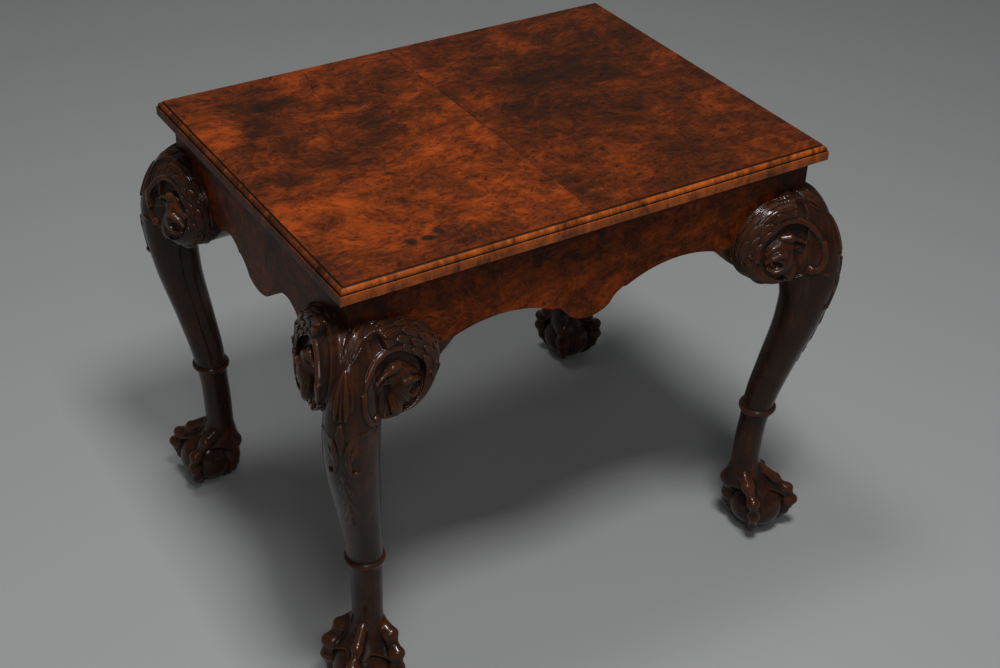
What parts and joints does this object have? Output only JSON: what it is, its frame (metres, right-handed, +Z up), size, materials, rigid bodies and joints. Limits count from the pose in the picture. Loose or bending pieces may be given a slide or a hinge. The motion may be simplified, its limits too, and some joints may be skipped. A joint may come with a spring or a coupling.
{
  "type": "tea table",
  "caption": "Rectangular tea table with a burr veneered flat top, moulded edge, shaped aprons and carved cabriole legs with scrolled knees and ball-and-claw feet.",
  "frame": {"origin": "on the floor under the middle of the table", "axes": "+X along the long side, -Y towards the front, +Z up"},
  "size_m": [0.6046, 0.4816, 0.5],
  "materials": {
    "softwood": "bare, aged",
    "burr_walnut": "French polished, semi-gloss",
    "cross_grain_walnut": "French polished, semi-gloss",
    "oak": "bare, aged",
    "carved_walnut": "dark stained and waxed, glossy",
    "steel": "dull, aged"
  },
  "bodies": {
    "root": {"corner_block_back_left": "softwood", "corner_block_back_right": "softwood", "corner_block_front_left": "softwood", "corner_block_front_right": "softwood", "corner_screws": "steel", "ear_back_left": "carved_walnut", "ear_back_right": "carved_walnut", "ear_front_left": "carved_walnut", "ear_front_right": "carved_walnut", "ear_left_back": "carved_walnut", "ear_left_front": "carved_walnut", "ear_right_back": "carved_walnut", "ear_right_front": "carved_walnut", "edge_moulding_back": "cross_grain_walnut", "edge_moulding_front": "cross_grain_walnut", "edge_moulding_left": "cross_grain_walnut", "edge_moulding_right": "cross_grain_walnut", "fixing_blocks_back": "softwood", "fixing_blocks_front": "softwood", "fixing_blocks_left": "softwood", "fixing_blocks_right": "softwood", "leg_back_left": "carved_walnut", "leg_back_right": "carved_walnut", "leg_front_left": "carved_walnut", "leg_front_right": "carved_walnut", "post_veneer_back_left": "burr_walnut", "post_veneer_back_right": "burr_walnut", "post_veneer_front_left": "burr_walnut", "post_veneer_front_right": "burr_walnut", "rail_back": "oak", "rail_front": "oak", "rail_left": "oak", "rail_right": "oak", "rail_veneer_back": "burr_walnut", "rail_veneer_front": "burr_walnut", "rail_veneer_left": "burr_walnut", "rail_veneer_right": "burr_walnut", "top_ground": "softwood", "top_screws": "steel", "top_veneer_left": "burr_walnut", "top_veneer_right": "burr_walnut"}
  },
  "joints": []
}
